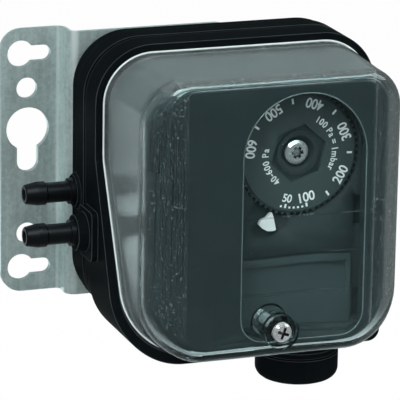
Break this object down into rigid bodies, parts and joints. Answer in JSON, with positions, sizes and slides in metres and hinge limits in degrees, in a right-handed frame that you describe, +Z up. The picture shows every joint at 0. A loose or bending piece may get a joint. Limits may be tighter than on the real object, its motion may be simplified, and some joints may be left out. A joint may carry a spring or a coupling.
{
  "type": "differential pressure switch",
  "caption": "Wall-mounted air pressure difference switch: black housing on a plated sheet bracket, clear cover over an adjusting dial, hose nozzles and a cable gland.",
  "frame": {"origin": "midway between the two round wall holes of the bracket, on the wall plane", "axes": "+X right as seen from the front, +Y into the wall, +Z up"},
  "size_m": [0.0898, 0.0633, 0.0855],
  "materials": {
    "zinc_sheet": "zinc plated sheet",
    "black_plastic": "moulded, fine grain",
    "frame_plastic": "moulded, coarse grain",
    "dial_plastic": "smooth, white scale printed on it",
    "clear_plastic": "clear",
    "steel": "plated",
    "brass": "satin",
    "rubber": "matt",
    "white_plastic": "smooth",
    "red_plastic": "smooth"
  },
  "bodies": {
    "housing": {"bracket": "zinc_sheet", "bracket_screws": "steel", "rear_shell": "black_plastic", "shell_screws": "steel", "nozzle_high": "black_plastic", "nozzle_low": "black_plastic", "diaphragm": "rubber", "front_shell": "black_plastic", "cover_gasket": "rubber", "rocker_pin": "steel", "range_spring": "steel", "pointer": "white_plastic", "switch_frame": "frame_plastic", "switch_body": "black_plastic", "switch_contacts": "brass", "frame_screws": "steel", "terminal_block": "black_plastic", "terminal_clamps": "brass", "terminal_screws": "steel", "terminal_cover": "dial_plastic", "gland_body": "black_plastic", "gland_seal": "rubber"},
    "dial": {"dial": "dial_plastic", "dial_spindle": "dial_plastic", "dial_screw": "steel"},
    "spring_nut": {"spring_nut": "brass"},
    "diaphragm_disc": {"diaphragm_plate": "steel", "plunger": "steel"},
    "rocker": {"rocker": "zinc_sheet"},
    "button": {"switch_button": "red_plastic"},
    "cover": {"cover": "clear_plastic"},
    "cover_screw": {"cover_screw": "steel", "screw_shank": "steel", "screw_ring": "rubber"},
    "gland_nut": {"gland_nut": "black_plastic"}
  },
  "joints": [
    {"name": "dial_turn", "type": "hinge", "parent": "housing", "child": "dial", "pos_m": [0.0526, -0.0525, 0.0115], "axis": [0, 1, 0], "range_deg": [0, 280]},
    {"name": "nut_travel", "type": "slide", "parent": "housing", "child": "spring_nut", "axis": [0, 1, 0], "range_m": [0, 0.003], "deforming": ["range_spring"]},
    {"name": "diaphragm_travel", "type": "slide", "parent": "housing", "child": "diaphragm_disc", "axis": [0, -1, 0], "range_m": [0, 0.0006], "stiffness_N_per_m": 500, "springref_m": -0.0005, "deforming": ["diaphragm"]},
    {"name": "rocker_tilt", "type": "hinge", "parent": "housing", "child": "rocker", "pos_m": [0.0453, -0.0334, -0.017], "axis": [1, 0, 0], "range_deg": [0, 2.2]},
    {"name": "button_travel", "type": "slide", "parent": "housing", "child": "button", "axis": [0, -1, 0], "range_m": [0, 0.0012]},
    {"name": "cover_lift", "type": "slide", "parent": "housing", "child": "cover", "axis": [0, -1, 0], "range_m": [0, 0.05]},
    {"name": "cover_screw_turn", "type": "hinge", "parent": "cover", "child": "cover_screw", "pos_m": [0.0457, -0.061, -0.0304], "axis": [0, 1, 0], "continuous": true},
    {"name": "gland_nut_turn", "type": "hinge", "parent": "housing", "child": "gland_nut", "pos_m": [0.0596, -0.037, -0.047], "axis": [0, 0, 1], "continuous": true}
  ],
  "couplings": [
    {"joint": "nut_travel", "follows": "dial_turn", "m_per_rad": 0.0006135},
    {"joint": "rocker_tilt", "follows": "diaphragm_travel", "rad_per_m": 62.9},
    {"joint": "button_travel", "follows": "diaphragm_travel", "ratio": 2}
  ]
}
